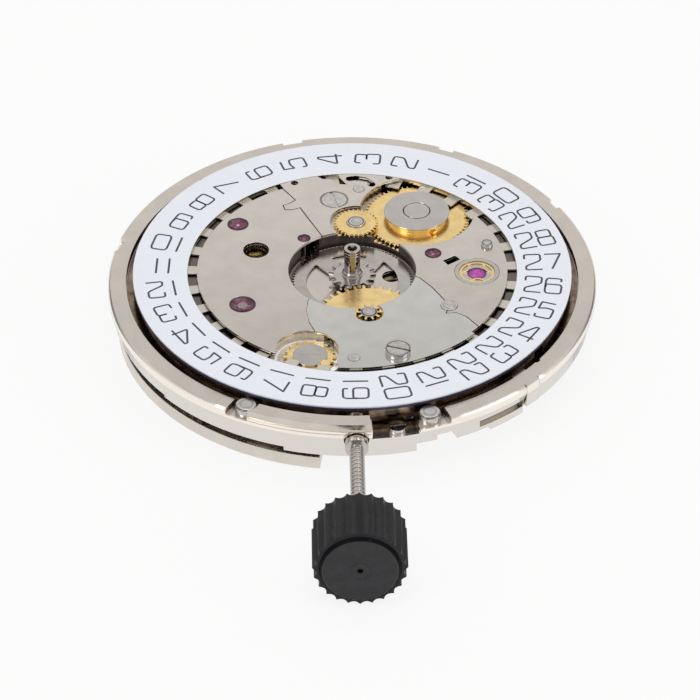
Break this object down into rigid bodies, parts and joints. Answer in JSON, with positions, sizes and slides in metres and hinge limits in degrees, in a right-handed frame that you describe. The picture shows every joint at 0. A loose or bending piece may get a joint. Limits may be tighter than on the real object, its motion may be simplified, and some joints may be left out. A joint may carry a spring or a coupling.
{
  "type": "mechanical watch movement",
  "caption": "Automatic mechanical watch movement seen from its dial side, with a date ring, open wheel work, winding stem and a black plastic crown.",
  "frame": {"origin": "the movement's axis at the underside of the casing flange", "axes": "+Z towards the dial along the hands' axis, -Y along the winding stem out to the crown"},
  "size_m": [0.0262, 0.0362, 0.0053],
  "materials": {
    "nickel_plate": "rhodium-plated brass, softly bright",
    "polished_cover": "mirror-polished plate",
    "date_white": "white lacquer with plain dark grey numbers",
    "gilt_brass": "gilt brass",
    "polished_steel": "hardened polished steel",
    "spring_steel": "spring steel",
    "ruby": "pink synthetic ruby",
    "gilt_spring": "gilt spring",
    "rotor_metal": "satin heavy metal",
    "crown_plastic": "black moulded plastic"
  },
  "bodies": {
    "base": {"main_plate": "nickel_plate", "left_cover_plate": "polished_cover", "minute_train_cover": "polished_cover", "balance_cover_plate": "polished_cover", "date_cover_plate": "polished_cover", "barrel_bridge": "nickel_plate", "train_bridge": "nickel_plate", "pallet_bridge": "nickel_plate", "balance_cock": "nickel_plate", "shock_blocks": "polished_steel", "shock_jewels": "ruby", "shock_springs": "gilt_spring", "jewel_bearings": "ruby", "automatic_bridge": "nickel_plate", "rotor_axle": "polished_steel", "plate_screws": "polished_steel", "dial_posts": "polished_steel"},
    "date_ring": {"date_ring": "date_white"},
    "date_jumper": {"date_jumper": "spring_steel"},
    "date_drive": {"date_driving_wheel": "gilt_brass", "date_driving_disc": "polished_steel"},
    "date_intermediate": {"intermediate_date_wheel": "gilt_brass"},
    "date_corrector": {"date_corrector_wheel": "gilt_brass", "date_corrector_disc": "polished_steel"},
    "minute_work": {"minute_wheel": "gilt_brass"},
    "cannon": {"cannon_pinion": "polished_steel", "cannon_driving_wheel": "polished_steel"},
    "setting": {"setting_wheel": "polished_steel"},
    "winding": {"winding_pinion": "polished_steel"},
    "stem": {"winding_stem": "polished_steel", "crown": "crown_plastic"},
    "sliding": {"sliding_pinion": "polished_steel"},
    "setting_lever": {"setting_lever": "spring_steel"},
    "yoke": {"yoke": "spring_steel"},
    "barrel": {"barrel_drum": "gilt_brass", "barrel_cover": "gilt_brass", "mainspring": "spring_steel"},
    "ratchet": {"ratchet_wheel": "polished_steel", "ratchet_screw": "polished_steel", "barrel_arbor": "polished_steel"},
    "crown_wheel": {"crown_wheel": "polished_steel"},
    "click": {"click": "spring_steel"},
    "second": {"second_wheel": "gilt_brass"},
    "third": {"third_wheel": "gilt_brass"},
    "seconds": {"seconds_wheel": "gilt_brass"},
    "escape": {"escape_wheel": "polished_steel"},
    "pallet": {"pallet_fork": "polished_steel", "pallet_stones": "ruby"},
    "balance": {"balance_wheel": "gilt_brass", "balance_staff": "polished_steel", "hairspring": "spring_steel"},
    "regulator": {"regulator": "gilt_brass"},
    "reversing_gear_a": {"reversing_gear_a": "gilt_brass"},
    "reversing_gear_b": {"reversing_gear_b": "gilt_brass"},
    "reversing_pinion_a": {"reversing_pinion_a": "polished_steel"},
    "reversing_pinion_b": {"reversing_pinion_b": "polished_steel"},
    "reduction": {"reduction_wheel": "gilt_brass"},
    "rotor": {"rotor_plate": "rotor_metal", "rotor_weight": "rotor_metal", "rotor_gear": "gilt_brass"}
  },
  "joints": [
    {"name": "escape_turn", "type": "hinge", "parent": "base", "child": "escape", "pos_m": [0.00267, 0.00267, 0], "axis": [0, 0, 1], "continuous": true},
    {"name": "seconds_turn", "type": "hinge", "parent": "base", "child": "seconds", "pos_m": [0, 0, 0], "axis": [0, 0, 1], "continuous": true},
    {"name": "third_turn", "type": "hinge", "parent": "base", "child": "third", "pos_m": [-0.00255, 0.00286, 0], "axis": [0, 0, 1], "continuous": true},
    {"name": "second_turn", "type": "hinge", "parent": "base", "child": "second", "pos_m": [-0.00612, 0.00419, 0], "axis": [0, 0, 1], "continuous": true},
    {"name": "barrel_turn", "type": "hinge", "parent": "base", "child": "barrel", "pos_m": [-0.00585, -0.00297, 0], "axis": [0, 0, 1], "continuous": true},
    {"name": "cannon_turn", "type": "hinge", "parent": "base", "child": "cannon", "pos_m": [0, 0, 0], "axis": [0, 0, 1], "continuous": true},
    {"name": "minute_turn", "type": "hinge", "parent": "base", "child": "minute_work", "pos_m": [0.00082, -0.0038, 0], "axis": [0, 0, 1], "continuous": true},
    {"name": "setting_turn", "type": "hinge", "parent": "base", "child": "setting", "pos_m": [0.00075, -0.00716, 0], "axis": [0, 0, 1], "continuous": true},
    {"name": "pallet_rock", "type": "hinge", "parent": "base", "child": "pallet", "pos_m": [0.00437, 0.00138, 0], "axis": [0, 0, 1], "range_deg": [-8, 8]},
    {"name": "balance_swing", "type": "hinge", "parent": "base", "child": "balance", "pos_m": [0.00666, -0.00031, 0], "axis": [0, 0, 1], "range_deg": [-150, 150], "stiffness_Nm_per_rad": 0.00000024},
    {"name": "regulator_shift", "type": "hinge", "parent": "base", "child": "regulator", "pos_m": [0.00666, -0.00031, 0], "axis": [0, 0, 1], "range_deg": [-10, 10]},
    {"name": "crown_turn", "type": "hinge", "parent": "base", "child": "winding", "pos_m": [0, -0.0085, -0.0003], "axis": [0, 1, 0], "continuous": true},
    {"name": "crown_pull", "type": "slide", "parent": "winding", "child": "stem", "axis": [0, -1, 0], "range_m": [0, 0.0009]},
    {"name": "sliding_shift", "type": "slide", "parent": "winding", "child": "sliding", "axis": [0, 1, 0], "range_m": [0, 0.0004]},
    {"name": "setting_lever_swing", "type": "hinge", "parent": "base", "child": "setting_lever", "pos_m": [0.0027, -0.01075, 0], "axis": [0, 0, 1], "range_deg": [0, 23]},
    {"name": "yoke_swing", "type": "hinge", "parent": "base", "child": "yoke", "pos_m": [0.0027, -0.00675, 0], "axis": [0, 0, 1], "range_deg": [-11, 0]},
    {"name": "ratchet_turn", "type": "hinge", "parent": "base", "child": "ratchet", "pos_m": [-0.00585, -0.00297, 0], "axis": [0, 0, 1], "continuous": true},
    {"name": "crown_wheel_turn", "type": "hinge", "parent": "base", "child": "crown_wheel", "pos_m": [0, -0.00686, 0], "axis": [0, 0, 1], "continuous": true},
    {"name": "reduction_turn", "type": "hinge", "parent": "base", "child": "reduction", "pos_m": [-0.0002, -0.00225, 0], "axis": [0, 0, 1], "continuous": true},
    {"name": "reversing_pinion_a_turn", "type": "hinge", "parent": "base", "child": "reversing_pinion_a", "pos_m": [0.0024, -0.0024, 0], "axis": [0, 0, 1], "continuous": true},
    {"name": "reversing_pinion_b_turn", "type": "hinge", "parent": "base", "child": "reversing_pinion_b", "pos_m": [0.00098, -0.00458, 0], "axis": [0, 0, 1], "continuous": true},
    {"name": "click_lift", "type": "hinge", "parent": "base", "child": "click", "pos_m": [-0.0027, -0.0092, 0], "axis": [0, 0, 1], "range_deg": [0, 8], "stiffness_Nm_per_rad": 0.000001},
    {"name": "rotor_turn", "type": "hinge", "parent": "base", "child": "rotor", "pos_m": [0, 0, 0], "axis": [0, 0, 1], "continuous": true},
    {"name": "reversing_gear_a_turn", "type": "hinge", "parent": "base", "child": "reversing_gear_a", "pos_m": [0.0024, -0.0024, 0], "axis": [0, 0, 1], "continuous": true},
    {"name": "reversing_gear_b_turn", "type": "hinge", "parent": "base", "child": "reversing_gear_b", "pos_m": [0.00098, -0.00458, 0], "axis": [0, 0, 1], "continuous": true},
    {"name": "date_ring_turn", "type": "hinge", "parent": "base", "child": "date_ring", "pos_m": [0, 0, 0], "axis": [0, 0, 1], "continuous": true},
    {"name": "date_jumper_lift", "type": "hinge", "parent": "base", "child": "date_jumper", "pos_m": [-0.0019, 0.0073, 0], "axis": [0, 0, 1], "range_deg": [-6, 0], "stiffness_Nm_per_rad": 0.000001},
    {"name": "date_drive_turn", "type": "hinge", "parent": "base", "child": "date_drive", "pos_m": [0.0036, 0.00524, 0], "axis": [0, 0, 1], "continuous": true},
    {"name": "date_intermediate_turn", "type": "hinge", "parent": "base", "child": "date_intermediate", "pos_m": [0.00028, 0.00435, 0], "axis": [0, 0, 1], "continuous": true},
    {"name": "date_corrector_turn", "type": "hinge", "parent": "base", "child": "date_corrector", "pos_m": [-0.00232, -0.00687, 0], "axis": [0, 0, 1], "continuous": true}
  ],
  "couplings": [
    {"joint": "seconds_turn", "follows": "escape_turn", "ratio": -0.083333},
    {"joint": "third_turn", "follows": "escape_turn", "ratio": 0.0069444},
    {"joint": "second_turn", "follows": "escape_turn", "ratio": -0.00099206},
    {"joint": "barrel_turn", "follows": "escape_turn", "ratio": 0.00019841},
    {"joint": "cannon_turn", "follows": "escape_turn", "ratio": -0.0013889},
    {"joint": "minute_turn", "follows": "escape_turn", "ratio": 0.0005787},
    {"joint": "setting_turn", "follows": "escape_turn", "ratio": -0.0026042},
    {"joint": "sliding_shift", "follows": "crown_pull", "ratio": 0.44444},
    {"joint": "setting_lever_swing", "follows": "crown_pull", "rad_per_m": 433.06},
    {"joint": "yoke_swing", "follows": "crown_pull", "rad_per_m": -208.55},
    {"joint": "ratchet_turn", "follows": "crown_turn", "ratio": 0.18519},
    {"joint": "crown_wheel_turn", "follows": "crown_turn", "ratio": -0.5},
    {"joint": "reduction_turn", "follows": "crown_turn", "ratio": -1.6667},
    {"joint": "reversing_pinion_a_turn", "follows": "crown_turn", "ratio": 4.1111},
    {"joint": "reversing_pinion_b_turn", "follows": "crown_turn", "ratio": 4.1111},
    {"joint": "reversing_gear_a_turn", "follows": "rotor_turn", "ratio": -1.6154},
    {"joint": "reversing_gear_b_turn", "follows": "rotor_turn", "ratio": 1.6154},
    {"joint": "date_intermediate_turn", "follows": "date_drive_turn", "ratio": -4.4286}
  ]
}
